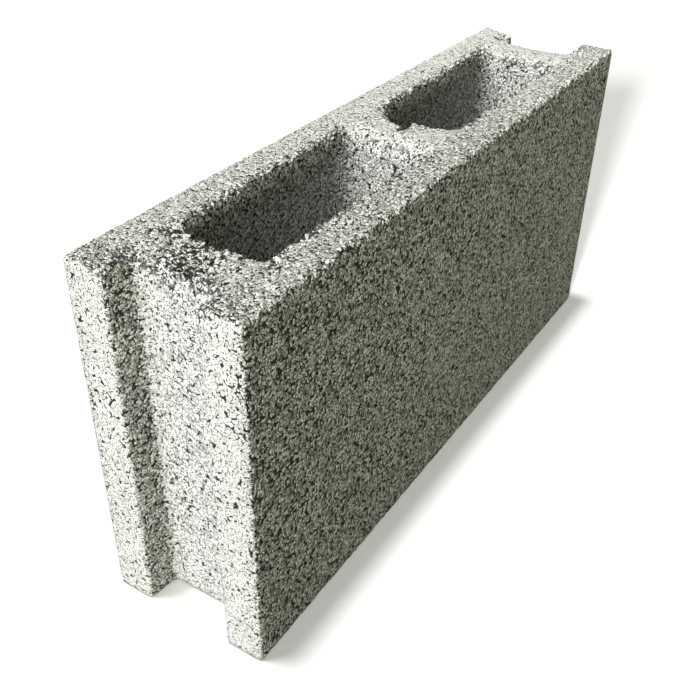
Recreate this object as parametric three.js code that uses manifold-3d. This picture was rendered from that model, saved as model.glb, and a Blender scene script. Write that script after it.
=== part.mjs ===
// Hollow concrete building block, pressed in one piece: a long face shell on each side, two tapered
// cores that go right through, an end web and a middle web between them, and a flared mortar groove
// down each end. It stands the way it leaves the mould, with the wide end of the cores on top, where
// the tops of the webs sit lower than the face shells because the bar that held the cores ran across.
//
// Millimetres. +X runs along the block, +Y across the wall and +Z up. The origin is the middle of the
// underside.

import * as THREE from 'three';
import { mergeVertices } from 'three/addons/utils/BufferGeometryUtils.js';
import Module from 'manifold-3d';

// The block's outside
const blockLength = 390;
const blockWidth = 90;
const blockHeight = 190;
const cornerRadius = 2.2; // upright outside corners
const arris = 1; // rounding all along the top and bottom edges

// The walls, measured at the top, where the cores are widest
const faceShell = 20;
const endWeb = 28;
const middleWeb = 34;

// The cores
const coreDraft = 2; // how far each core wall comes in from top to bottom
const coreCornerRadius = 10;
const coreRim = 1.2; // rounding where a core meets the top and the underside

// The mortar grooves in the ends, and the ears beside them
const grooveDepth = 17;
const earTip = 21.5; // thickness of an ear at the end of the block
const grooveFlare = 2; // how much thicker an ear is at its root
const grooveRootRadius = 3;

// The lowered tops of the webs
const endSaddleDepth = 3; // middle of an end web below the face shells
const middleSaddleDepth = 1.5; // middle of the middle web below them
const saddleLap = 2.5; // how far the hollow runs onto each face shell
const saddleRunout = 9; // length over which it fades out past a web
const webRimDrop = 2; // how much lower again a web is where it rounds over into a core or groove

// Fineness
const arcSegments = 6; // to a quarter turn
const arrisSegments = 2;
const saddleGrid = 2.8; // spacing of the points on a lowered top
const overrun = 8; // how far a cutter runs past the faces that it cuts
const mostRound = 0.95; // largest share of half a core's width or length that its corners may take
const mostBevel = 0.8; // largest share of an upright corner's radius that the arris may take
const pastEdge = 1.06; // a saddle cutter's own size, so that its edges stand clear above the block

const wasm = await Module();
wasm.setup();

/** The closed solid of a geometry whose vertices may be split along its edges. */
function toSolid(geometry) {
  const bare = geometry.clone();
  bare.deleteAttribute('normal');
  bare.deleteAttribute('uv');
  const merged = mergeVertices(bare);
  return new wasm.Manifold(new wasm.Mesh({
    numProp: 3,
    vertProperties: new Float32Array(merged.attributes.position.array),
    triVerts: new Uint32Array(merged.index.array),
  }));
}

/** The geometry of a solid, with flat faces. */
function toGeometry(solid) {
  const mesh = solid.getMesh();
  const indexed = new THREE.BufferGeometry();
  indexed.setAttribute('position', new THREE.BufferAttribute(mesh.vertProperties, 3));
  indexed.setIndex(new THREE.BufferAttribute(mesh.triVerts, 1));
  const faceted = indexed.toNonIndexed();
  faceted.computeVertexNormals();
  return faceted;
}

/** A closed outline with an arc at each corner, from corners { x, y, radius } listed anticlockwise. */
function roundedOutline(corners) {
  const outline = new THREE.Shape();
  corners.forEach(({ x, y, radius }, i) => {
    const before = corners.at(i - 1);
    const after = corners[(i + 1) % corners.length];
    const back = new THREE.Vector2(before.x - x, before.y - y).normalize();
    const ahead = new THREE.Vector2(after.x - x, after.y - y).normalize();
    const halfAngle = Math.acos(back.dot(ahead)) / 2;
    const tangent = radius / Math.tan(halfAngle);
    const centre = back.clone().add(ahead).setLength(radius / Math.sin(halfAngle));
    const from = back.multiplyScalar(tangent).sub(centre);
    const to = ahead.multiplyScalar(tangent).sub(centre);
    const turnsIn = from.cross(to) < 0;
    outline.absarc(x + centre.x, y + centre.y, radius, from.angle(), to.angle(), turnsIn);
  });
  outline.closePath();
  return outline;
}

/** The block without its cores: its plan, with a flared groove in each end, pressed to full height. */
function makeBody() {
  const endX = blockLength / 2;
  const faceY = blockWidth / 2;
  const rootX = endX - grooveDepth;
  const mouthY = faceY - earTip;
  const rootY = mouthY - grooveFlare;
  const quarter = [
    { x: rootX, y: rootY, radius: grooveRootRadius },
    { x: endX, y: mouthY, radius: cornerRadius },
    { x: endX, y: faceY, radius: cornerRadius },
  ];
  const mirrored = (signX, signY) => (
    quarter.map(({ x, y, radius }) => ({ x: x * signX, y: y * signY, radius }))
  );
  const plan = roundedOutline([
    ...mirrored(1, 1),
    ...mirrored(-1, 1).reverse(),
    ...mirrored(-1, -1),
    ...mirrored(1, -1).reverse(),
  ]);
  const edge = Math.min(arris, mostBevel * cornerRadius);
  const body = new THREE.ExtrudeGeometry(plan, {
    depth: blockHeight - 2 * edge,
    curveSegments: arcSegments,
    bevelSize: edge,
    bevelThickness: edge,
    bevelOffset: -edge,
    bevelSegments: arrisSegments,
  });
  return toSolid(body.translate(0, 0, edge));
}

/** Where the cores and webs lie along the block, at the top. */
function layOut() {
  const coreLength = (blockLength - 2 * grooveDepth - 2 * endWeb - middleWeb) / 2;
  const coreX = (middleWeb + coreLength) / 2;
  const endWebX = (blockLength - endWeb) / 2 - grooveDepth;
  return {
    coreLength,
    coreWidth: blockWidth - 2 * faceShell,
    coreCentres: [-coreX, coreX],
    webs: [
      { x: -endWebX, thickness: endWeb, saddleDepth: endSaddleDepth },
      { x: 0, thickness: middleWeb, saddleDepth: middleSaddleDepth },
      { x: endWebX, thickness: endWeb, saddleDepth: endSaddleDepth },
    ],
  };
}

/** How far a core's wall stands out from its place at the bottom: draft, and a rounded rim at each end. */
function coreSpread(z) {
  const toRim = THREE.MathUtils.clamp(Math.min(z, blockHeight - z), 0, coreRim);
  const rim = coreRim - Math.sqrt(coreRim ** 2 - (coreRim - toRim) ** 2);
  return coreDraft * THREE.MathUtils.clamp(z / blockHeight, 0, 1) + rim;
}

/** The bar that forms one core, its rounded oblong section growing with height. */
function makeCore(centreX, { coreLength, coreWidth }) {
  const halfLength = coreLength / 2 - coreDraft;
  const halfWidth = coreWidth / 2 - coreDraft;
  const radius = Math.min(coreCornerRadius, mostRound * halfWidth, mostRound * halfLength);
  const section = roundedOutline([
    { x: halfLength, y: -halfWidth, radius },
    { x: halfLength, y: halfWidth, radius },
    { x: -halfLength, y: halfWidth, radius },
    { x: -halfLength, y: -halfWidth, radius },
  ]);
  const rimHeights = [];
  for (let step = 0; step <= arrisSegments; step += 1) {
    rimHeights.push(coreRim * (1 - Math.cos((step / arrisSegments) * (Math.PI / 2))));
  }
  const heights = [
    -overrun,
    ...rimHeights,
    ...rimHeights.map((height) => blockHeight - height).reverse(),
    blockHeight + overrun,
  ];
  const steps = heights.length - 1;
  const core = new THREE.ExtrudeGeometry(section, {
    depth: steps,
    steps,
    curveSegments: arcSegments,
    bevelEnabled: false,
  });
  const points = core.attributes.position;
  for (let i = 0; i < points.count; i += 1) {
    const x = points.getX(i);
    const y = points.getY(i);
    const height = heights[Math.round(points.getZ(i))];
    const spread = coreSpread(height);
    points.setXYZ(i, x + Math.sign(x) * spread, y + Math.sign(y) * spread, height);
  }
  return toSolid(core.translate(centreX, 0, 0));
}

/** What the core bar leaves over one web: hollow across it, rounded over lengthwise, faded out past it. */
function makeSaddle({ x: webX, thickness, saddleDepth }, { coreWidth }) {
  const halfWeb = thickness / 2;
  const halfWidth = coreWidth / 2 + saddleLap;
  const reachX = halfWeb + saddleRunout * pastEdge;
  const reachY = halfWidth * pastEdge;
  const depthAt = (x, y) => {
    const across = (y / halfWidth) ** 4;
    const past = (Math.max(0, Math.abs(x) - halfWeb) / saddleRunout) ** 2;
    const roundOver = webRimDrop * Math.min(1, Math.abs(x) / halfWeb) ** 4;
    return (saddleDepth + roundOver) * (1 - across - past);
  };
  const cutter = new THREE.BoxGeometry(
    2 * reachX,
    2 * reachY,
    overrun,
    2 * Math.ceil(reachX / saddleGrid),
    2 * Math.ceil(reachY / saddleGrid),
    1,
  );
  const points = cutter.attributes.position;
  for (let i = 0; i < points.count; i += 1) {
    const onUnderside = points.getZ(i) < 0;
    const lift = onUnderside ? -depthAt(points.getX(i), points.getY(i)) : overrun;
    points.setZ(i, blockHeight + lift);
  }
  return toSolid(cutter.translate(webX, 0, 0));
}

/** The whole block in one solid. */
function makeBlock() {
  const layout = layOut();
  const cores = layout.coreCentres.map((centreX) => makeCore(centreX, layout));
  const saddles = layout.webs.map((web) => makeSaddle(web, layout));
  return [...cores, ...saddles].reduce((block, cutter) => block.subtract(cutter), makeBody());
}

const concrete = new THREE.MeshStandardMaterial({ color: 0xa3a29a, roughness: 0.95, metalness: 0 });

const concreteBlock = new THREE.Mesh(toGeometry(makeBlock()), concrete);
concreteBlock.name = 'concrete_block';

const group = new THREE.Group();
group.add(concreteBlock);

export default group;
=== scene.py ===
"""Hollow concrete block: the pressed grain, crumbled rims and knocked corners of one cast piece.

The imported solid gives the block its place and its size. A merged copy of it gets its knocks and crumbs, is
remeshed finely, worn along its arrises and roughened by the same grain pattern that its material is coloured
with. Nothing stands out of the solid's box, which the last step holds the surface to.

Blender's own unit is the metre, and sizes are written in millimetres times MM. The lumps, rows, zones, pits
and depths of wear are in plain millimetres.
"""

import logging
import math
import random
from dataclasses import dataclass
from enum import Enum
from types import SimpleNamespace

import bmesh
import bpy
from mathutils import Matrix, Vector, noise


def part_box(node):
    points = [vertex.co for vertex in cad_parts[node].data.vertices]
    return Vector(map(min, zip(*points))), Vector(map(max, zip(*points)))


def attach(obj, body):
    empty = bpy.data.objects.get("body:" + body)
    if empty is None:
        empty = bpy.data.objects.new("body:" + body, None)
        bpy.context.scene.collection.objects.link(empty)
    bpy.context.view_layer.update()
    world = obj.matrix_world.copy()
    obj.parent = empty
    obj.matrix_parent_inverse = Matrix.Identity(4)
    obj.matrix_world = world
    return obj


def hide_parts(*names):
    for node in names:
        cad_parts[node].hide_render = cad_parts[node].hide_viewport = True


MM = 0.001
LOG = logging.getLogger("concrete_block")

Tree = bpy.types.NodeTree
Node = bpy.types.Node
Feed = Node | bpy.types.NodeSocket | float  # what an input takes
Band = tuple[float, float]  # where a change begins and where it ends
Point = tuple[float, float, float]

MATH = "ShaderNodeMath"
VECTOR = "ShaderNodeVectorMath"
NOISE = "ShaderNodeTexNoise"
CELLS = "ShaderNodeTexVoronoi"
RAMP = "ShaderNodeMapRange"
SMOOTH = {"interpolation_type": "SMOOTHSTEP"}

MERGED = 0.001 * MM  # corners of triangles that are closer than this are one
NOISE_MIDDLE = (0.5, 0.5, 0.5)
NOISE_REACH = 0.25  # how far cloudy noise mostly strays from its middle
FINENESS = 3  # how often a lump's faces are divided
STONY_FINENESS = 5  # how often they are where stones stand out of it
BULGE = 1.6  # how many bulges there are across a lump's radius
SEED_STEP = Vector((7.3, 1.9, 4.1))  # how far on the next seed's bulges are taken
BULGE_LAYERS = (0.7, 2.1, 3)  # how fast finer bulges fade, how much finer each layer is, how many there are
CRUMB_SEEDS = 1000  # how many shapes a strewn crumb's is drawn from
BROKEN_STONE = 2.8 * MM  # the size of the stones that stand out of a broken surface
STONE_RADIUS = 0.4  # how far from a stone's middle a broken surface keeps its place, in stones
ZONE_MIDDLE = 0.4  # the share of a zone's radius over which it has its full strength


class Shade(Enum):
    """sRGB colours of the concrete and of the studio."""

    PALE_GRAIN = 0xF0F0EC
    GREY_GRAIN = 0x8E8E86
    # the painted shade in pores, pinholes, cracks and pits
    PORE_PAINTED_SHADE = 0x12110B
    KEY_LIGHT = 0xFFFFFD
    END_LIGHT = 0xFFFFFB
    COOL_LIGHT = 0xCFE0FF
    LOW_LIGHT = 0xFFFDE2
    SKY_FILL = 0x514F39
    WHITE = 0xFFFFFF
    FLOOR = 0x8A8A82


def linear(shade: Shade) -> tuple[float, float, float, float]:
    """Turns an sRGB colour into the linear colour that Blender's sockets take.

    Args:
        shade: the colour.

    Returns:
        Red, green, blue and an alpha of 1.
    """
    channels = [(shade.value >> shift & 0xFF) / 255 for shift in (16, 8, 0)]
    lit = [c / 12.92 if c <= 0.04045 else ((c + 0.055) / 1.055) ** 2.4 for c in channels]
    return (lit[0], lit[1], lit[2], 1.0)


def add_node(tree: Tree, kind: str, feeds: dict | tuple = (), **settings: object) -> Node:
    """Adds one node to a shader or geometry tree.

    Args:
        tree: the tree that gets the node.
        kind: the node's type name.
        feeds: what its inputs take, in their order, or by name or number. Each is a value, a socket, or a
            node, of which the first output in use is taken.
        settings: the node's own properties.

    Returns:
        The new node.
    """
    node = tree.nodes.new(kind)
    for name, value in settings.items():
        setattr(node, name, value)
    for key, feed in (feeds if isinstance(feeds, dict) else dict(enumerate(feeds))).items():
        if isinstance(feed, Node):
            feed = next(socket for socket in feed.outputs if socket.enabled)
        if isinstance(feed, bpy.types.NodeSocket):
            tree.links.new(feed, node.inputs[key])
        else:
            node.inputs[key].default_value = feed
    return node


@dataclass(frozen=True)
class Crack:
    """Cracks between the pieces of a broken-up space, shut over part of their length; the material paints
    shade into them.
    """

    sides: Band  # how far from a border a crack is still open, and where it has shut, in pieces
    stretch: float  # how long an open stretch is, in pieces
    opening: Band  # the noise along a crack, from a shut stretch to an open one
    strength: float

    def build(self, tree: Tree, place: Feed, drifted: Feed, piece: float, amount: Feed) -> Node:
        """Adds the cracks to a tree.

        Args:
            tree: the tree that gets the nodes.
            place: the coordinates, in metres.
            drifted: the coordinates that the pieces lie on.
            piece: the width of a piece.
            amount: how much the concrete is cracked there, from 0 to 1.

        Returns:
            A node that is 0 outside the cracks and 1 where they are deepest and their painted shade darkest.
        """
        stretch = self.stretch * piece
        cloud = add_node(tree, NOISE, {"Vector": place, "Scale": 1 / stretch, "Detail": 1.0})
        opened = add_node(tree, RAMP, (cloud, *self.opening), **SMOOTH)
        border = borders(tree, drifted, piece, self.sides)
        crack = add_node(tree, MATH, (border, opened), operation="MULTIPLY")
        depth = add_node(tree, MATH, (amount, self.strength), operation="MULTIPLY")
        return add_node(tree, MATH, (crack, depth), operation="MULTIPLY", use_clamp=True)


def borders(tree: Tree, place: Feed, piece: float, sides: Band) -> Node:
    """Finds the borders between the pieces of a broken-up space.

    Args:
        tree: the tree that gets the nodes.
        place: the coordinates, in metres.
        piece: the width of a piece.
        sides: how far from a border the result is still 1, and where it has come down to 0, in pieces.

    Returns:
        The node with the result.
    """
    cells = add_node(tree, CELLS, {"Vector": place, "Scale": 1 / piece}, feature="DISTANCE_TO_EDGE")
    return add_node(tree, RAMP, (cells, *sides, 1.0, 0.0), **SMOOTH)


@dataclass(frozen=True)
class PressedGrain:
    """The grain of pressed concrete: grains of aggregate in cement, with open pores between them.

    The same nodes go into the geometry tree that roughens the block and into its material, so that the relief
    and the colour of a grain fall together.
    """

    grain: float = 1.6 * MM  # the width of a grain
    stone: float = 3.0 * MM  # the width of a stone where the concrete has crumbled
    drift: float = 0.3 * MM  # how far the borders between grains wander
    drift_size: float = 1.3 * MM
    sand: float = 0.9 * MM
    sand_harshness: float = 0.7  # how strong the finer layers of the sand are
    rounding: Band = (0.1, 0.75)  # a grain's dome, from its flat middle to its border, in grains

    patch: float = 12 * MM  # the width of the patches that are more open or closer than the rest
    patches: Band = (0.35, 0.65)  # their noise, from the most open to the closest
    pore_starts: Band = (0.73, 0.78)  # how far from a grain's middle pores start there, in grains
    pore_edge: float = 0.08  # how much further out a pore is at its darkest
    open_pores: float = -0.18  # what full openness adds to where pores start
    crumbly_pores: float = -0.06  # what full crumbling adds to it

    pin: float = 0.75 * MM  # the width of a pinhole
    pin_start: float = 0.63  # the noise above which there is one
    pin_edge: float = 0.1  # how much further up it is at its darkest
    open_pins: float = -0.1  # what full openness adds to where pinholes start
    crumbly_pins: float = -0.04  # what full crumbling adds to it

    # Seams and crevices sink into the relief, and the material paints shade into them.
    seams: Crack = Crack(sides=(0.03, 0.15), stretch=1.7, opening=(0.4, 0.56), strength=0.8)  # between grains
    crevices: Crack = Crack(sides=(0.07, 0.22), stretch=1.3, opening=(0.42, 0.54), strength=1.8)  # and stones
    groove_sides: Band = (0.02, 0.34)  # the hollows that loose stones stand out of, as in Crack

    def drifted(self, tree: Tree, place: Feed) -> Node:
        """Lets the borders between the grains wander.

        Args:
            tree: the tree that gets the nodes.
            place: the coordinates, in metres.

        Returns:
            The node with the coordinates that the grains lie on.
        """
        cloud = add_node(tree, NOISE, {"Vector": place, "Scale": 1 / self.drift_size, "Detail": 1.0})
        stray = add_node(tree, VECTOR, (cloud.outputs["Color"], NOISE_MIDDLE), operation="SUBTRACT")
        stray = add_node(tree, VECTOR, {0: stray, "Scale": self.drift / NOISE_REACH}, operation="SCALE")
        return add_node(tree, VECTOR, (place, stray), operation="ADD")

    def pores(self, tree: Tree, place: Feed, off_middle: Feed, openness: Feed, crumbly: Feed) -> Node:
        """Opens pores in the corners between grains.

        Args:
            tree: the tree that gets the nodes.
            place: the coordinates, in metres.
            off_middle: how far the nearest grain's middle is, in grains.
            openness: how open the concrete is there, from 0 to 1.
            crumbly: how far it has crumbled there, from 0 to 1.

        Returns:
            A node that is 1 in a pore.
        """
        cloud = add_node(tree, NOISE, {"Vector": place, "Scale": 1 / self.patch, "Detail": 2.0})
        start = add_node(tree, RAMP, (cloud, *self.patches, *self.pore_starts), **SMOOTH)
        start = add_node(tree, MATH, (openness, self.open_pores, start), operation="MULTIPLY_ADD")
        start = add_node(tree, MATH, (crumbly, self.crumbly_pores, start), operation="MULTIPLY_ADD")
        past = add_node(tree, MATH, (off_middle, start), operation="SUBTRACT")
        return add_node(tree, RAMP, (past, 0.0, self.pore_edge), **SMOOTH)

    def pinholes(self, tree: Tree, place: Feed, openness: Feed, crumbly: Feed) -> Node:
        """Pricks pinholes all over.

        Args:
            tree: the tree that gets the nodes.
            place: the coordinates, in metres.
            openness: how open the concrete is there, from 0 to 1.
            crumbly: how far it has crumbled there, from 0 to 1.

        Returns:
            A node that is 1 in a pinhole.
        """
        start = add_node(tree, MATH, (crumbly, self.crumbly_pins, self.pin_start), operation="MULTIPLY_ADD")
        start = add_node(tree, MATH, (openness, self.open_pins, start), operation="MULTIPLY_ADD")
        cloud = add_node(tree, NOISE, {"Vector": place, "Scale": 1 / self.pin, "Detail": 0.0})
        past = add_node(tree, MATH, (cloud, start), operation="SUBTRACT")
        return add_node(tree, RAMP, (past, 0.0, self.pin_edge), **SMOOTH)

    def build(self, tree: Tree, place: Feed, openness: Feed, crumbly: Feed) -> SimpleNamespace:
        """Adds the pattern to a tree.

        Args:
            tree: shader or geometry tree.
            place: the coordinates, in metres.
            openness: how open the concrete is there, from 0, close, to 1, full of pores.
            crumbly: how far it has crumbled into loose stones there, from 0 to 1.

        Returns:
            Nodes or sockets: openness, as it was given; tone, a random number for each grain; dome, 0 at the
            middle of a grain and 1 at its border; gap, 1 in a pore, pinhole or crack; groove, 0 on a loose
            stone and 1 deep between stones; sand, fine noise about 0.5.
        """
        drifted = self.drifted(tree, place)
        cell = add_node(tree, CELLS, {"Vector": drifted, "Scale": 1 / self.grain})
        off_middle = cell.outputs["Distance"]
        between = add_node(tree, MATH, (
            self.pores(tree, place, off_middle, openness, crumbly),
            self.seams.build(tree, place, drifted, self.grain, openness),
        ), operation="MAXIMUM")
        deep = add_node(tree, MATH, (
            self.pinholes(tree, place, openness, crumbly),
            self.crevices.build(tree, place, drifted, self.stone, crumbly),
        ), operation="MAXIMUM")
        hollows = borders(tree, drifted, self.stone, self.groove_sides)
        sand = {"Vector": place, "Scale": 1 / self.sand, "Detail": 2.0, "Roughness": self.sand_harshness}
        return SimpleNamespace(
            openness=openness,
            tone=add_node(tree, "ShaderNodeSeparateXYZ", {0: cell.outputs["Color"]}),
            dome=add_node(tree, RAMP, (off_middle, *self.rounding), **SMOOTH),
            gap=add_node(tree, MATH, (between, deep), operation="MAXIMUM"),
            groove=add_node(tree, MATH, (hollows, crumbly), operation="MULTIPLY"),
            sand=add_node(tree, NOISE, sand),
        )


@dataclass(frozen=True)
class PressedConcrete:
    """Lightweight aggregate concrete, pressed in a steel mould and left unpolished.

    It looks dry and quite matt: pale cement and grains, peppered with pores whose dark colour is painted
    shade, and a touch of sand sparkle. Its relief is in plain millimetres.
    """

    grain: PressedGrain
    dome_height: float = 0.55
    gap_depth: float = 0.6
    groove_depth: float = 1.5
    sand_height: float = 0.12
    tone_share: float = 0.45  # how much of the speckle is the grains' own tone, and not sand
    speckles: Band = (0.62, 0.3)  # the speckle, from a pale grain to a grey one
    freshness: float = -0.9  # what crumbling does to the grey, because a fresh break is clean
    close_grey: float = 0.3  # how much grey there is in close concrete
    open_grey: float = 0.75  # what full openness adds to it
    pore_shade: float = 0.97  # how dark the painted shade in a gap is
    gloss: float = 0.3  # its specular level, low because dust covers it
    roughness: Band = (0.86, 0.97)  # from one grain to another

    def relief(self, tree: Tree, pattern: SimpleNamespace) -> Node:
        """Works out how far the surface lies under the mould's face.

        Args:
            tree: shader or geometry tree.
            pattern: the grain pattern.

        Returns:
            A node with the depth in millimetres, 0 at the mould's face and negative under it.
        """
        fall = add_node(tree, MATH, (pattern.openness, -self.dome_height), operation="MULTIPLY")
        low = add_node(tree, MATH, (pattern.dome, fall), operation="MULTIPLY")
        return add_node(tree, MATH, (pattern.gap, -self.gap_depth, low), operation="MULTIPLY_ADD")

    def colour(self, tree: Tree, pattern: SimpleNamespace, crumbly: Feed, pit: Feed) -> Node:
        """Colours the grains, and paints shade into the gaps between them and into the pits.

        Args:
            tree: the shader tree.
            pattern: the grain pattern.
            crumbly: how far the concrete has crumbled there, from 0 to 1.
            pit: how far into the painted shade of a pit it is, from 0 to 1.

        Returns:
            The node with the colour.
        """
        sandy = add_node(tree, MATH, (pattern.sand, 1 - self.tone_share), operation="MULTIPLY")
        speckle = add_node(tree, MATH, (pattern.tone, self.tone_share, sandy), operation="MULTIPLY_ADD")
        grey = add_node(tree, RAMP, (speckle, *self.speckles), **SMOOTH)
        left = add_node(tree, MATH, (crumbly, self.freshness, 1.0), operation="MULTIPLY_ADD")
        grey = add_node(tree, MATH, (grey, left), operation="MULTIPLY")
        most = (pattern.openness, self.open_grey, self.close_grey)
        most = add_node(tree, MATH, most, operation="MULTIPLY_ADD")
        # A Mix node's colours are its inputs 6 and 7, and its factor is input 0.
        grains = add_node(tree, "ShaderNodeMix", {
            0: add_node(tree, MATH, (grey, most), operation="MULTIPLY"),
            6: linear(Shade.PALE_GRAIN),
            7: linear(Shade.GREY_GRAIN),
        }, data_type="RGBA")
        # Pores, pinholes, cracks and pits are hollows in the relief; their near-black colour is painted
        # shade.
        painted_shade = add_node(tree, MATH, (pattern.gap, pit), operation="MAXIMUM")
        return add_node(tree, "ShaderNodeMix", {
            0: add_node(tree, MATH, (painted_shade, self.pore_shade), operation="MULTIPLY"),
            6: grains,
            7: linear(Shade.PORE_PAINTED_SHADE),
        }, data_type="RGBA")

    def material(self) -> bpy.types.Material:
        """Makes the material.

        Returns:
            The concrete, with its colour, roughness and fine bump from one pattern.
        """
        made = bpy.data.materials.new("pressed_aggregate_concrete")
        made.use_nodes = True
        tree = made.node_tree
        place = add_node(tree, "ShaderNodeTexCoord").outputs["Object"]
        # pit is where shade is painted inside the pits.
        openness, crumbly, pit = (
            add_node(tree, "ShaderNodeAttribute", attribute_name=name).outputs["Fac"]
            for name in ("openness", "crumbly", "pit")
        )
        pattern = self.grain.build(tree, place, openness, crumbly)
        height = add_node(tree, MATH, (pattern.sand, self.sand_height, self.relief(tree, pattern)),
                          operation="MULTIPLY_ADD")
        bump = add_node(tree, "ShaderNodeBump", {"Strength": 1.0, "Distance": MM, "Height": height})
        roughness = add_node(tree, RAMP, (pattern.tone, 0.0, 1.0, *self.roughness), **SMOOTH)
        skin = tree.nodes["Principled BSDF"]
        skin.inputs["Specular IOR Level"].default_value = self.gloss
        tree.links.new(self.colour(tree, pattern, crumbly, pit).outputs[2], skin.inputs["Base Color"])
        tree.links.new(roughness.outputs[0], skin.inputs["Roughness"])
        tree.links.new(bump.outputs[0], skin.inputs["Normal"])
        return made


@dataclass(frozen=True)
class Lump:
    """A rough, rounded lump: a knocked-out hollow if it is cut, or a crumb if it is added. In millimetres."""

    at: Point
    size: Point  # its radii
    seed: int
    rough: float = 0.25  # how far it bulges, in radii
    stony: float = 0.0  # how far it falls back from a stone's middle, over one stone's width

    def add_to(self, mesh: bmesh.types.BMesh) -> None:
        """Adds the lump to a mesh.

        Args:
            mesh: the mesh that gets it.
        """
        middle = Vector(self.at) * MM
        fineness = STONY_FINENESS if self.stony else FINENESS
        ball = bmesh.ops.create_icosphere(mesh, subdivisions=fineness, radius=1.0)["verts"]
        for vert in ball:
            bulge = noise.fractal(vert.co * BULGE + SEED_STEP * self.seed, *BULGE_LAYERS)
            vert.co *= 1 + self.rough * bulge
        bmesh.ops.scale(mesh, vec=Vector(self.size) * MM, verts=ball)
        bmesh.ops.translate(mesh, vec=middle, verts=ball)
        for vert in ball if self.stony else ():
            away = (vert.co - middle).normalized()
            off_stone = noise.voronoi(vert.co / BROKEN_STONE)[0][0]
            vert.co += away * (off_stone - STONE_RADIUS) * self.stony * MM


@dataclass(frozen=True)
class Row:
    """A broken rim: rounded crumbs strewn along a line. In millimetres."""

    start: Point
    end: Point
    count: int
    least: float  # the least radius
    most: float
    stray: float  # how far off the line a crumb may be
    seed: int
    squash: Band = (0.75, 1.3)  # how much shorter or longer than its radius a crumb is each way

    def lumps(self) -> list[Lump]:
        """Strews the crumbs.

        Returns:
            One lump a crumb, the same ones each time.
        """
        strewn = random.Random(self.seed)
        start, end = Vector(self.start), Vector(self.end)
        made = []
        for step in range(self.count):
            along = (step + strewn.random()) / self.count
            stray = Vector([strewn.uniform(-self.stray, self.stray) for _ in range(3)])
            radius = strewn.uniform(self.least, self.most)
            size = tuple(radius * strewn.uniform(*self.squash) for _ in range(3))
            made.append(Lump(tuple(start.lerp(end, along) + stray), size, strewn.randrange(CRUMB_SEEDS)))
        return made


@dataclass(frozen=True)
class Zone:
    """A place where the concrete has crumbled, or where shade is painted into a pit: its middle and radius in
    millimetres, and how strong it is.
    """

    at: Point
    radius: float
    strength: float = 1.0


@dataclass(frozen=True)
class Pit:
    """A small deep hole in the top, where a stone has come out, with shade painted inside it: its place and
    radius. In millimetres.
    """

    x: float
    y: float
    radius: float
    top: float = 186.5  # the height of the surface there
    middle: float = 1  # how far above the surface the hollow's middle is
    depth: float = 3.4  # how far below its middle the hollow ends
    length: float = 1.2  # its radius across the block, in radii along it
    shadow: float = 0.6  # how far under the surface the middle of its painted shade is
    reach: float = 1.25  # how far its painted shade reaches, in radii

    def hollow(self, seed: int) -> Lump:
        """Gives the hollow to cut.

        Args:
            seed: a number for its shape.

        Returns:
            The lump.
        """
        size = (self.radius, self.length * self.radius, self.depth)
        return Lump((self.x, self.y, self.top + self.middle), size, seed)

    def painted_shade_zone(self) -> Zone:
        """Gives the place inside it where shade is painted."""
        return Zone((self.x, self.y, self.top - self.shadow), self.reach * self.radius)


@dataclass(frozen=True)
class Regions:
    """Bands over which the regions of the block begin: from where one starts to where it is full."""

    worn_top: Band = (176 * MM, 186 * MM)  # the height over which the walls come to the worn rims
    worn_inside: Band = (40 * MM, 36 * MM)  # off the middle of the wall, from a long face to the cores
    worn_webs: Band = (168 * MM, 160 * MM)  # off the middle of the length, from an end to the cores
    front_arris: Band = (-38 * MM, -43 * MM)  # across the block, from the front shell's top to its face
    high: Band = (170 * MM, 184 * MM)  # the height over which the walls come to the tops
    upwards: Band = (0.1, 0.7)  # how far a surface faces up, from a wall to a top
    endwise: Band = (0.4, 0.8)  # how far it faces an end
    ear_tips: Band = (164 * MM, 184 * MM)  # off the middle of the length, from the end webs
    front_shell: Band = (-22 * MM, -28 * MM)  # across the block, from the cores
    past_near_core: Band = (-150 * MM, -60 * MM)  # along the block, beside its left-hand core
    long_faces: Band = (36 * MM, 42 * MM)  # off the middle of the wall, from a shell's top to its face
    length: Band = (-195 * MM, 195 * MM)  # the whole of it
    left_ears: Band = (-172 * MM, -182 * MM)  # along the block, from its left-hand web
    between_shells: Band = (34 * MM, 29 * MM)  # off the middle of the wall, from a shell to the webs


@dataclass(frozen=True)
class Openness:
    """How open the concrete is in each region, from 0, close, to 1, full of pores, or what a region adds."""

    walls: float = 0.7
    long_faces: float = 0.12
    ends: float = -0.25
    ear_tips: float = -0.3
    tops: Band = (0.4, 0.08)  # from the left-hand end to the right-hand one
    front_shell: float = 0.17
    left_ears: float = 0.18
    broken: float = -0.1


@dataclass(frozen=True)
class Wear:
    """How the arrises and rims are worn and crumbled. Depths are in plain millimetres."""

    everywhere: float = 0.4  # how deep the bites in an arris are
    inside: float = 1.5  # how much deeper they are at the top along the cores
    front: float = 2.8  # how much deeper they are at the top of the front face
    reach: float = 2.8 * MM  # how far from an arris they go
    bite: float = 3.2 * MM  # how long they are
    bites: Band = (0.47, 0.6)  # the noise along an arris, from a whole stretch to a bitten one
    eased_rim: tuple[Point, Point] = ((-17, 19, 189), (-17, -19, 189))  # a rim that is rounded away
    eased_reach: float = 11 * MM
    eased_depth: float = 2.2
    rim: Band = (1 * MM, 6 * MM)  # how far from its edge a rim has crumbled most, and where it is whole
    rim_crumbs: float = 0.5  # how crumbly it is at its edge
    top_crumbs: float = 0.05  # how crumbly every top is
    front_crumbs: float = 0.2  # how much more so the front shell's top is
    wall_relief: float = 0.1  # the share of the grain's relief that the walls have
    top_relief: float = 0.25  # how much more of it the tops have


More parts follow.
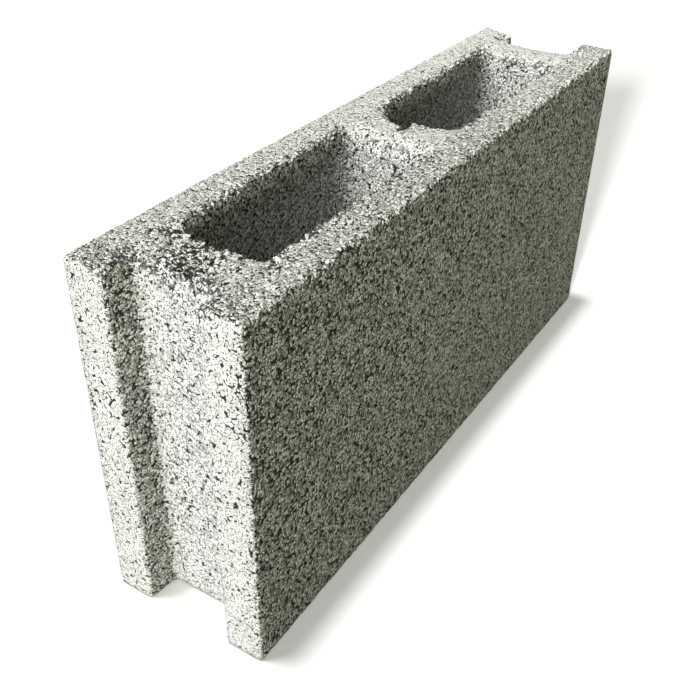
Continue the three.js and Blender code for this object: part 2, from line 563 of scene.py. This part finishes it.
@dataclass
class Block:
    """The block itself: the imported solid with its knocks, crumbled arrises and grain."""

    node: str
    concrete: PressedConcrete
    regions: Regions = Regions()
    openness: Openness = Openness()
    wear: Wear = Wear()
    voxel: float = 0.8 * MM  # the length of the remesh's cells
    triangles: int = 197_000
    fine_above: float = 182 * MM  # the height above which no triangle is thinned out
    sharp: float = math.radians(28)  # the least angle of an arris
    worn_blur: int = 5  # how many times the normals are averaged before the arrises are worn
    grain_blur: int = 2  # and before the grain is pressed in
    first_pit_seed: int = 100
    knocks: tuple[Lump, ...] = ()
    crumbs: tuple[Lump, ...] = ()
    rows: tuple[Row, ...] = ()
    zones: tuple[Zone, ...] = ()
    pits: tuple[Pit, ...] = ()

    def copy_solid(self) -> bpy.types.Object:
        """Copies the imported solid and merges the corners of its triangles.

        Returns:
            A new object with the closed mesh.
        """
        solid = bmesh.new()
        solid.from_mesh(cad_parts[self.node].data)
        bmesh.ops.remove_doubles(solid, verts=solid.verts, dist=MERGED)
        return self.finish_mesh(solid, "block_body")

    def finish_mesh(self, made: bmesh.types.BMesh, name: str) -> bpy.types.Object:
        """Turns a bmesh into an object in the scene.

        Args:
            made: the mesh, which is freed.
            name: the object's name.

        Returns:
            The new object.
        """
        mesh = bpy.data.meshes.new(name)
        made.to_mesh(mesh)
        made.free()
        piece = bpy.data.objects.new(name, mesh)
        bpy.context.scene.collection.objects.link(piece)
        return piece

    def arris_lines(self) -> bpy.types.Object:
        """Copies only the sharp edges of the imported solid, which wear is measured from.

        Returns:
            A helper object of loose edges.
        """
        lines = bmesh.new()
        lines.from_mesh(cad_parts[self.node].data)
        bmesh.ops.remove_doubles(lines, verts=lines.verts, dist=MERGED)
        soft = [edge for edge in lines.edges if edge.calc_face_angle(0.0) < self.sharp]
        bmesh.ops.delete(lines, geom=list(lines.faces), context="FACES_ONLY")
        bmesh.ops.delete(lines, geom=[edge for edge in soft if edge.is_valid], context="EDGES")
        return self.finish_mesh(lines, "arris_lines")

    def cut_knocks(self, body: bpy.types.Object) -> None:
        """Cuts the knocked-out hollows and the pits.

        Args:
            body: the object that they are cut from.
        """
        hollows = bmesh.new()
        for knock in self.knocks:
            knock.add_to(hollows)
        for seed, pit in enumerate(self.pits, self.first_pit_seed):
            pit.hollow(seed).add_to(hollows)
        cutter = self.finish_mesh(hollows, "knocks")
        cut = body.modifiers.new("knock", "BOOLEAN")
        cut.operation = "DIFFERENCE"
        cut.solver = "EXACT"
        cut.use_self = True
        cut.object = cutter
        self.settle(body)
        bpy.data.objects.remove(cutter)

    def add_crumbs(self, body: bpy.types.Object) -> None:
        """Adds the crumbs, which the remesh then joins to the block.

        Args:
            body: the object that they stick to.
        """
        joined = bmesh.new()
        joined.from_mesh(body.data)
        for row in self.rows:
            for crumb in row.lumps():
                crumb.add_to(joined)
        for crumb in self.crumbs:
            crumb.add_to(joined)
        joined.to_mesh(body.data)
        joined.free()

    def settle(self, body: bpy.types.Object) -> None:
        """Applies the object's modifiers to its mesh.

        Args:
            body: the object.
        """
        seen = body.evaluated_get(bpy.context.evaluated_depsgraph_get())
        done = bpy.data.meshes.new_from_object(seen)
        body.modifiers.clear()
        old = body.data
        body.data = done
        bpy.data.meshes.remove(old)

    def remesh(self, body: bpy.types.Object, size: float) -> None:
        """Adds a fine, even remesh.

        Args:
            body: the object.
            size: the length of its cells.
        """
        even = body.modifiers.new("even", "REMESH")
        even.mode = "VOXEL"
        even.voxel_size = size

    def reshape(self, body: bpy.types.Object, tree: Tree) -> None:
        """Adds a geometry tree as a modifier.

        Args:
            body: the object.
            tree: the tree.
        """
        shaped = body.modifiers.new(tree.name, "NODES")
        shaped.node_group = tree

    def new_tree(self, name: str) -> tuple[Tree, Node]:
        """Starts a geometry tree.

        Args:
            name: the tree's name.

        Returns:
            The tree and its input node.
        """
        tree = bpy.data.node_groups.new(name, "GeometryNodeTree")
        tree.interface.new_socket("Geometry", in_out="INPUT", socket_type="NodeSocketGeometry")
        tree.interface.new_socket("Geometry", in_out="OUTPUT", socket_type="NodeSocketGeometry")
        return tree, add_node(tree, "NodeGroupInput")

    def push_in(self, tree: Tree, surface: Feed, depth: Feed, blur: int) -> None:
        """Moves the surface along its softened normals, and ends the tree.

        Args:
            tree: the geometry tree.
            surface: the surface.
            depth: the move in millimetres, negative into the block.
            blur: how many times the normals are averaged with their neighbours'.
        """
        normal = add_node(tree, "GeometryNodeInputNormal").outputs[0]
        soft = add_node(tree, "GeometryNodeBlurAttribute", {"Iterations": blur}, data_type="FLOAT_VECTOR")
        tree.links.new(normal, next(s for s in soft.inputs if s.type == "VECTOR" and s.enabled))
        unit = add_node(tree, VECTOR, {0: soft}, operation="NORMALIZE")
        metres = add_node(tree, MATH, (depth, MM), operation="MULTIPLY")
        move = add_node(tree, VECTOR, {0: unit, "Scale": metres}, operation="SCALE")
        placed = add_node(tree, "GeometryNodeSetPosition", {"Geometry": surface, "Offset": move})
        add_node(tree, "NodeGroupOutput", {0: placed})

    def from_line(self, tree: Tree, place: Feed, ends: tuple[Point, Point]) -> Node:
        """Measures how far a place is from a line.

        Args:
            tree: the geometry tree.
            place: the coordinates, in metres.
            ends: the ends of the line, in millimetres.

        Returns:
            A node with the distance, in metres.
        """
        start, end = (Vector(at) * MM for at in ends)
        reach = end - start
        across = add_node(tree, VECTOR, (place, start), operation="SUBTRACT")
        along = add_node(tree, VECTOR, (across, reach), operation="DOT_PRODUCT")
        share = add_node(tree, MATH, (along, reach.length_squared), operation="DIVIDE")
        share = add_node(tree, "ShaderNodeClamp", {0: share})
        foot = add_node(tree, VECTOR, {0: reach, "Scale": share}, operation="SCALE")
        return add_node(tree, VECTOR, (across, foot), operation="DISTANCE")

    def in_zones(self, tree: Tree, place: Feed, zones: tuple[Zone, ...]) -> Feed:
        """Finds how far a place is inside zones: crumbly ones, or the painted shade of pits.

        Args:
            tree: the geometry tree.
            place: the coordinates, in metres.
            zones: the zones.

        Returns:
            A node that is 0 outside the zones and up to each zone's strength at its middle.
        """
        found = 0.0
        for zone in zones:
            away = add_node(tree, VECTOR, (place, Vector(zone.at) * MM), operation="DISTANCE")
            band = (ZONE_MIDDLE * zone.radius * MM, zone.radius * MM, zone.strength, 0.0)
            inside = add_node(tree, RAMP, (away, *band), **SMOOTH)
            found = add_node(tree, MATH, (inside, found), operation="MAXIMUM")
        return found

    def from_arris(self, tree: Tree, lines: bpy.types.Object) -> Feed:
        """Measures how far the surface is from the nearest arris.

        Args:
            tree: the geometry tree.
            lines: the arris lines.

        Returns:
            A socket with the distance, in metres.
        """
        sharp = add_node(tree, "GeometryNodeObjectInfo", {"Object": lines}).outputs["Geometry"]
        return add_node(tree, "GeometryNodeProximity", {0: sharp}, target_element="EDGES").outputs["Distance"]

    def crumble_tree(self, lines: bpy.types.Object) -> Tree:
        """Makes the tree that wears the arrises and rims.

        Args:
            lines: the arris lines.

        Returns:
            The geometry tree.
        """
        tree, start = self.new_tree("crumble")
        at, wear = self.regions, self.wear
        place = add_node(tree, "GeometryNodeInputPosition")
        axes = add_node(tree, "ShaderNodeSeparateXYZ", {0: place})
        along, across = (add_node(tree, MATH, {0: axes.outputs[n]}, operation="ABSOLUTE") for n in (0, 1))
        top = add_node(tree, RAMP, (axes.outputs[2], *at.worn_top), **SMOOTH)
        inside = add_node(tree, MATH, (
            add_node(tree, RAMP, (across, *at.worn_inside), **SMOOTH),
            add_node(tree, RAMP, (along, *at.worn_webs), **SMOOTH),
        ), operation="MULTIPLY")
        inside = add_node(tree, MATH, (inside, wear.inside), operation="MULTIPLY")
        front = add_node(tree, RAMP, (axes.outputs[1], *at.front_arris), **SMOOTH)
        worst = add_node(tree, MATH, (front, wear.front, inside), operation="MULTIPLY_ADD")
        worst = add_node(tree, MATH, (top, worst), operation="MULTIPLY")
        worst = add_node(tree, MATH, (worst, wear.everywhere), operation="ADD")
        cloud = add_node(tree, NOISE, {"Vector": place, "Scale": 1 / wear.bite, "Detail": 3.0})
        bitten = add_node(tree, MATH, (
            add_node(tree, RAMP, (self.from_arris(tree, lines), 0.0, wear.reach, 1.0, 0.0), **SMOOTH),
            add_node(tree, RAMP, (cloud, *wear.bites), **SMOOTH),
        ), operation="MULTIPLY")
        worn = add_node(tree, MATH, (bitten, worst), operation="MULTIPLY")
        off_rim = self.from_line(tree, place, wear.eased_rim)
        whole = add_node(tree, RAMP, (off_rim, 0.0, wear.eased_reach), **SMOOTH)
        eased = add_node(tree, MATH, (whole, wear.eased_depth, -wear.eased_depth), operation="MULTIPLY_ADD")
        self.push_in(tree, start, add_node(tree, MATH, (eased, worn), operation="SUBTRACT"), self.worn_blur)
        return tree

    def find_regions(self, tree: Tree, place: Feed) -> SimpleNamespace:
        """Finds which regions of the block a place is in.

        Args:
            tree: the geometry tree.
            place: the coordinates, in metres.

        Returns:
            Nodes that are 1 in the region that they are named for, and tops_along, how open a top is there.
        """
        at = self.regions
        axes = add_node(tree, "ShaderNodeSeparateXYZ", {0: place})
        along, across = (add_node(tree, MATH, {0: axes.outputs[n]}, operation="ABSOLUTE") for n in (0, 1))
        facing = add_node(tree, "ShaderNodeSeparateXYZ", {0: add_node(tree, "GeometryNodeInputNormal")})
        endwise = add_node(tree, MATH, {0: facing.outputs[0]}, operation="ABSOLUTE")
        upwards = add_node(tree, RAMP, (facing.outputs[2], *at.upwards), **SMOOTH)
        high = add_node(tree, RAMP, (axes.outputs[2], *at.high), **SMOOTH)
        return SimpleNamespace(
            high=high,
            top=add_node(tree, MATH, (high, upwards), operation="MULTIPLY"),
            endwise=add_node(tree, RAMP, (endwise, *at.endwise), **SMOOTH),
            ear_tips=add_node(tree, RAMP, (along, *at.ear_tips), **SMOOTH),
            front_shell=add_node(tree, RAMP, (axes.outputs[1], *at.front_shell), **SMOOTH),
            past_near_core=add_node(tree, RAMP, (axes.outputs[0], *at.past_near_core), **SMOOTH),
            long_faces=add_node(tree, RAMP, (across, *at.long_faces), **SMOOTH),
            tops_along=add_node(tree, RAMP, (axes.outputs[0], *at.length, *self.openness.tops), **SMOOTH),
            left_ears=add_node(tree, RAMP, (axes.outputs[0], *at.left_ears), **SMOOTH),
            between_shells=add_node(tree, RAMP, (across, *at.between_shells), **SMOOTH),
        )

    def open_up(self, tree: Tree, at: SimpleNamespace, broken: Feed) -> Node:
        """Works out how open the concrete is.

        Args:
            tree: the geometry tree.
            at: what find_regions found.
            broken: how far it has crumbled, from 0 to 1.

        Returns:
            The node with the openness.
        """
        adds = self.openness
        ends = add_node(tree, MATH, (at.ear_tips, adds.ear_tips, adds.ends), operation="MULTIPLY_ADD")
        walls = add_node(tree, MATH, (at.long_faces, adds.long_faces, adds.walls), operation="MULTIPLY_ADD")
        walls = add_node(tree, MATH, (at.endwise, ends, walls), operation="MULTIPLY_ADD")
        tops = add_node(tree, MATH, (broken, adds.broken, at.tops_along), operation="MULTIPLY_ADD")
        tops = add_node(tree, MATH, (at.left_ears, adds.left_ears, tops), operation="MULTIPLY_ADD")
        front = add_node(tree, MATH, (at.front_shell, at.past_near_core), operation="MULTIPLY")
        tops = add_node(tree, MATH, (front, adds.front_shell, tops), operation="MULTIPLY_ADD")
        return add_node(tree, "ShaderNodeMix", {0: at.top, 2: walls, 3: tops})

    def grain_tree(self, lines: bpy.types.Object) -> Tree:
        """Makes the tree that roughens the surface with the grain of the concrete, and stores where shade is
        painted into the pits.

        Args:
            lines: the arris lines.

        Returns:
            The geometry tree.
        """
        tree, start = self.new_tree("grain")
        wear, concrete = self.wear, self.concrete
        place = add_node(tree, "GeometryNodeInputPosition")
        at = self.find_regions(tree, place)
        broken = self.in_zones(tree, place, self.zones)
        openness = self.open_up(tree, at, broken)
        rim = add_node(tree, MATH, (
            add_node(tree, MATH, (at.high, at.between_shells), operation="MULTIPLY"),
            add_node(tree, RAMP, (self.from_arris(tree, lines), *wear.rim, wear.rim_crumbs, 0.0), **SMOOTH),
        ), operation="MULTIPLY")
        lying = (at.front_shell, wear.front_crumbs, wear.top_crumbs)
        lying = add_node(tree, MATH, lying, operation="MULTIPLY_ADD")
        lying = add_node(tree, MATH, (at.top, lying), operation="MULTIPLY")
        loose = add_node(tree, MATH, (rim, lying), operation="MAXIMUM")
        crumbly = add_node(tree, MATH, (broken, loose), operation="MAXIMUM")
        pattern = concrete.grain.build(tree, place, openness, crumbly)
        pressed = add_node(tree, MATH, (at.top, wear.top_relief, wear.wall_relief), operation="MULTIPLY_ADD")
        depth = add_node(tree, MATH, (concrete.relief(tree, pattern), pressed), operation="MULTIPLY")
        grooved = (pattern.groove, -concrete.groove_depth, depth)
        depth = add_node(tree, MATH, grooved, operation="MULTIPLY_ADD")
        # Where shade is painted inside the pits, stored below as the attribute pit.
        pit = self.in_zones(tree, place, tuple(pit.painted_shade_zone() for pit in self.pits))
        surface = start
        for name, value in (("openness", openness), ("crumbly", crumbly), ("pit", pit)):
            surface = add_node(tree, "GeometryNodeStoreNamedAttribute", {
                "Geometry": surface,
                "Name": name,
                "Value": value,
            }, data_type="FLOAT", domain="POINT")
        self.push_in(tree, surface, depth, self.grain_blur)
        return tree

    def thin(self, body: bpy.types.Object) -> None:
        """Collapses the smallest triangles under the top of the block until it is within its number.

        Args:
            body: the object.
        """
        body.data.calc_loop_triangles()
        found = len(body.data.loop_triangles)
        coarse = body.vertex_groups.new(name="coarse")
        coarse.add([vert.index for vert in body.data.vertices if vert.co.z < self.fine_above], 1.0, "REPLACE")
        fewer = body.modifiers.new("fewer", "DECIMATE")
        fewer.ratio = min(1.0, self.triangles / found)
        fewer.vertex_group = coarse.name
        self.settle(body)
        body.vertex_groups.clear()
        LOG.info("%s: %d triangles, thinned to %d faces", body.name, found, len(body.data.polygons))

    def build(self) -> bpy.types.Object:
        """Makes the block.

        Returns:
            The finished object.
        """
        body = self.copy_solid()
        self.cut_knocks(body)
        self.add_crumbs(body)
        lines = self.arris_lines()
        self.remesh(body, self.voxel)
        self.reshape(body, self.crumble_tree(lines))
        self.remesh(body, self.voxel)
        self.reshape(body, self.grain_tree(lines))
        self.settle(body)
        bpy.data.objects.remove(lines)
        self.thin(body)
        for face in body.data.polygons:
            face.use_smooth = True
        low, high = (Vector(corner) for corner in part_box(self.node))
        for vert in body.data.vertices:
            vert.co = [min(max(c, least), most) for c, least, most in zip(vert.co, low, high)]
        body.data.materials.clear()
        body.data.materials.append(self.concrete.material())
        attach(body, "root")
        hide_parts(self.node)
        return body


@dataclass(frozen=True)
class Camera:
    """The camera, looking down on the near upper corner of the block. Its angles are in degrees."""

    azimuth: float = -58.1
    elevation: float = 34.91
    roll: float = 1.05
    distance: float = 530.4 * MM
    shift_right: float = -27.9 * MM
    shift_up: float = -37.25 * MM
    aim_height: float = 95 * MM
    lens: float = 47.34

    def build(self) -> None:
        """Places the camera and makes it the scene's own."""
        around, above, rolled = (math.radians(angle) for angle in (self.azimuth, self.elevation, self.roll))
        back = Vector((
            math.sin(around) * math.cos(above),
            -math.cos(around) * math.cos(above),
            math.sin(above),
        ))
        level = Vector((math.cos(around), math.sin(around), 0))
        raised = back.cross(level)
        right = level * math.cos(rolled) + raised * math.sin(rolled)
        up = back.cross(right)
        aim = Vector((0, 0, self.aim_height))
        turn = Matrix((right, up, back)).transposed().to_4x4()
        turn.translation = aim + back * self.distance + right * self.shift_right + up * self.shift_up
        camera = bpy.data.objects.new("camera", bpy.data.cameras.new("camera"))
        camera.data.lens = self.lens
        camera.matrix_world = turn
        bpy.context.scene.collection.objects.link(camera)
        bpy.context.scene.camera = camera


@dataclass(frozen=True)
class Lamp:
    """A distant light. Its angles are in degrees."""

    name: str
    shade: Shade
    level: float  # its irradiance in pi, so that 1 shows white as white
    spread: float  # the angle that it fills
    height: float
    turn: float  # from -X, the left-hand end, towards +Y
    floor_only: bool = False

    def build(self, receivers: bpy.types.Collection) -> None:
        """Places the light.

        Args:
            receivers: a collection that says what the light falls on.
        """
        lamp = bpy.data.objects.new(self.name, bpy.data.lights.new(self.name, "SUN"))
        lamp.data.color = linear(self.shade)[:3]
        lamp.data.energy = self.level * math.pi
        lamp.data.angle = math.radians(self.spread)
        above, around = math.radians(self.height), math.radians(self.turn)
        toward = Vector((
            -math.cos(above) * math.cos(around),
            math.cos(above) * math.sin(around),
            math.sin(above),
        ))
        lamp.matrix_world = toward.to_track_quat("Z", "Y").to_matrix().to_4x4()
        lamp.light_linking.receiver_collection = receivers
        bpy.context.scene.collection.objects.link(lamp)


@dataclass(frozen=True)
class Studio:
    """A white floor, a broad light from behind the left end, and weak low light on the faces turned from it.

    Two more weak lights brighten the left end, one of them cool. The floor has two lights of its own, which
    lay the shadow close beside the block.
    """

    lamps: tuple[Lamp, ...] = (
        Lamp("broad_light", Shade.KEY_LIGHT, 1.31, 45, 50, 12),
        Lamp("end_light", Shade.END_LIGHT, 0.205, 24, 20, 0),
        Lamp("cool_light", Shade.COOL_LIGHT, 0.20, 20, 3, 0),
        Lamp("low_light", Shade.LOW_LIGHT, 0.33, 14, 4, -62),
        Lamp("floor_light_above", Shade.WHITE, 0.61, 4.5, 85, 60, floor_only=True),
        Lamp("floor_light_aside", Shade.WHITE, 1.10, 4, 19, -12, floor_only=True),
    )
    floor_size: float = 8.0

    def fill(self) -> None:
        """Lights everything evenly, and shows white behind the floor."""
        world = bpy.data.worlds.new("fill")
        world.use_nodes = True
        bpy.context.scene.world = world
        tree = world.node_tree
        fill = tree.nodes["Background"]
        fill.inputs["Color"].default_value = linear(Shade.SKY_FILL)
        white = add_node(tree, "ShaderNodeBackground", {"Color": linear(Shade.WHITE)})
        seen = add_node(tree, "ShaderNodeMixShader", {
            0: add_node(tree, "ShaderNodeLightPath").outputs["Is Camera Ray"],
            1: fill.outputs[0],
            2: white.outputs[0],
        })
        tree.links.new(seen.outputs[0], tree.nodes["World Output"].inputs["Surface"])

    def floor(self) -> bpy.types.Object:
        """Adds the floor, which looks white but throws little light back up.

        Returns:
            The floor.
        """
        made = bmesh.new()
        bmesh.ops.create_grid(made, x_segments=1, y_segments=1, size=self.floor_size / 2)
        mesh = bpy.data.meshes.new("floor")
        made.to_mesh(mesh)
        made.free()
        floor = bpy.data.objects.new("floor", mesh)
        bpy.context.scene.collection.objects.link(floor)
        paper = bpy.data.materials.new("white_paper")
        paper.use_nodes = True
        tree = paper.node_tree
        skin = tree.nodes["Principled BSDF"]
        skin.inputs["Roughness"].default_value = 1.0
        skin.inputs["Specular IOR Level"].default_value = 0.0
        tint = add_node(tree, "ShaderNodeMix", {
            0: add_node(tree, "ShaderNodeLightPath").outputs["Is Camera Ray"],
            6: linear(Shade.FLOOR),
            7: linear(Shade.WHITE),
        }, data_type="RGBA")
        tree.links.new(tint.outputs[2], skin.inputs["Base Color"])
        mesh.materials.append(paper)
        return floor

    def receivers(self, floor: bpy.types.Object, state: str) -> bpy.types.Collection:
        """Makes the list of what a light falls on.

        Args:
            floor: the floor.
            state: INCLUDE for the floor alone, or EXCLUDE for all else.

        Returns:
            The collection that says so.
        """
        made = bpy.data.collections.new(f"floor_{state.lower()}")
        made.objects.link(floor)
        made.collection_objects[0].light_linking.link_state = state
        return made

    def build(self) -> None:
        """Makes the floor and the lights."""
        floor = self.floor()
        alone = self.receivers(floor, "INCLUDE")
        spared = self.receivers(floor, "EXCLUDE")
        for lamp in self.lamps:
            lamp.build(alone if lamp.floor_only else spared)
        self.fill()
        bpy.context.scene.view_settings.view_transform = "Standard"


# The lists below are in plain millimetres, in the order of the fields of their classes.

KNOCKS = (
    Lump((-196, -47, 191), (5, 4, 6), 1),
    Lump((-197, -47, 77), (4, 4, 5), 2),
    Lump((-197, 22, 187), (4, 3, 7), 3),
    Lump((21, -9, 190), (9.5, 13, 9), 4, 0.3, 2.2),
    Lump((16, 10, 190), (12.5, 9.5, 9), 28, 0.3, 2.2),
    Lump((5, 2.2, 190), (8.5, 1.7, 9), 5, 0.1),
    Lump((-169, -38, 191), (1.6, 6, 3), 17, 0.4),
    Lump((159.7, -41.9, 191), (3, 2, 3), 18),
    Lump((-19.3, -2.2, 187), (1.8, 2.2, 3), 21),
    Lump((-40.2, -29.8, 190), (1.4, 1.5, 3), 22),
    Lump((-45, -38.8, 191), (2, 1.8, 3), 23),
    Lump((146, 2.3, 187), (1.6, 2.0, 3), 25),
    Lump((200, 18, 190), (14.2, 29, 17), 26, 0.05, 1.0),
    Lump((197, -47.5, 191), (6, 4, 6), 27),
)

CRUMBS = (
    Lump((2.6, 8.6, 185.9), (5.0, 4.6, 2.9), 41, 0.08),
    Lump((6.2, 14.8, 186.4), (2.8, 2.4, 2.4), 55, 0.1),
    Lump((3.8, -0.9, 186.0), (2.4, 1.7, 2.4), 42, 0.1),
    Lump((8.4, -1.0, 186.0), (3.0, 2.4, 2.6), 43, 0.1),
    Lump((9.8, -6.0, 185.9), (3.6, 3.4, 2.9), 44, 0.1),
    Lump((8.0, -10.8, 186.2), (2.8, 2.4, 2.4), 45, 0.1),
    Lump((11.6, -16.4, 186.2), (3.0, 2.4, 2.4), 46, 0.1),
    Lump((15.6, -23.4, 186.8), (3.0, 2.6, 2.4), 47, 0.1),
    Lump((-170.7, -4.4, 184.6), (3.4, 3.0, 3.2), 48),
    Lump((-165.8, 1.6, 184.2), (3.6, 1.9, 3.0), 49),
    Lump((-159.6, 1.4, 184.0), (2.6, 2.6, 2.6), 50),
    Lump((-160.8, -5.2, 184.6), (3.0, 2.4, 2.6), 51),
    Lump((-175.8, -1.0, 184.4), (2.2, 3.0, 2.6), 52),
    Lump((-155.0, 16.4, 184.8), (2.4, 2.6, 2.4), 53),
    Lump((-156.8, 7.2, 183.4), (2.4, 3.0, 2.6), 54),
)

ROWS = (
    Row((-148, 25.6, 189), (-20, 25.6, 189), 46, 0.8, 1.7, 0.6, 31),
    Row((-148, -25.8, 189), (-20, -25.8, 189), 50, 0.9, 2.1, 0.7, 32),
    Row((20, 25.6, 189), (148, 25.6, 189), 46, 0.8, 1.7, 0.6, 33),
    Row((20, -25.8, 189), (148, -25.8, 189), 46, 0.9, 1.9, 0.6, 34),
    Row((-151, 20, 186), (-151, -20, 185), 18, 1.4, 2.6, 1.2, 35),
    Row((-175.8, 17, 186.8), (-175.8, -20, 186.8), 12, 1.2, 2.2, 0.8, 36),
    Row((-173, 12, 185.8), (-157, -14, 185.8), 14, 1.4, 2.6, 1.8, 37),
    Row((9, 20, 187), (6, 14, 187), 4, 0.9, 1.6, 0.8, 38),
    Row((11, -2, 186.6), (12, -9, 186.6), 4, 0.8, 1.3, 0.6, 39),
    Row((10, -11, 187), (15, -24, 187), 9, 0.9, 1.7, 0.8, 40),
    Row((173, 21, 186.5), (177, -19, 184.8), 14, 0.8, 1.5, 0.7, 56),
)

ZONES = (
    Zone((-165, 4, 187), 21, 0.85),
    Zone((8, 0, 187), 17, 0.3),
    Zone((-152, 24, 190), 9, 0.7),
    Zone((-176, -12, 187), 9, 0.5),
)

PITS = (
    Pit(-168.8, -7.1, 1.12),
    Pit(-177.0, -7.7, 0.98, 185.5),
    Pit(-170.2, 9.9, 1.27),
    Pit(-163.2, 14.8, 1.05),
    Pit(-164.6, 19.6, 1.05, 187.5),
    Pit(-151.2, 21.6, 1.05, 187),
    Pit(-166.2, 4.9, 1.05),
    Pit(-170.4, -0.4, 1.12),
    Pit(-172.4, -0.9, 0.9),
    Pit(-172.6, -8.7, 0.98),
    Pit(-174.7, -4.9, 0.98),
    Pit(-176.2, 7.3, 1.05),
    Pit(-175.2, 2.7, 0.9),
    Pit(-160, 19.4, 1.2, 187.5),
    Pit(-160.4, -9.6, 0.98),
    Pit(-163.0, -1.6, 0.98),
    Pit(-9.3, -5.2, 0.9, 188.4),
    Pit(-8.1, -16.2, 0.98, 189),
    Pit(-17.2, 16.4, 0.98, 188),
    Pit(20.4, 34.4, 0.9, 189.5),
    Pit(5.2, 37.4, 0.83, 189.5),
    Pit(156.3, 5.5, 1.05, 186.5),
    Pit(154.5, -11.3, 0.98, 187),
    Pit(-15.4, 7.0, 0.9, 188.4),
    Pit(-16.9, 4.0, 0.9, 188.4),
    Pit(-18.4, 1.0, 0.9, 188.4),
)


def main() -> None:
    """Builds the scene and reports its pieces."""
    logging.basicConfig(level=logging.INFO, format="%(name)s: %(message)s")
    Camera().build()
    Studio().build()
    body = Block("concrete_block", PressedConcrete(PressedGrain()), knocks=KNOCKS, crumbs=CRUMBS, rows=ROWS,
                 zones=ZONES, pits=PITS).build()
    LOG.info("%s: %d faces", body.name, len(body.data.polygons))


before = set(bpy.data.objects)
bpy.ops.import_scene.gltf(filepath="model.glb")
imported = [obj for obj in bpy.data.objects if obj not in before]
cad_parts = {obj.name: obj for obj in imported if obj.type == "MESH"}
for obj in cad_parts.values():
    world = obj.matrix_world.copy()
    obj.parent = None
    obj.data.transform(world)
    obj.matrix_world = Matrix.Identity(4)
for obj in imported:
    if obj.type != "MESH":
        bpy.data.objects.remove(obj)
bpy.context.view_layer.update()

if __name__ == "__main__":
    main()
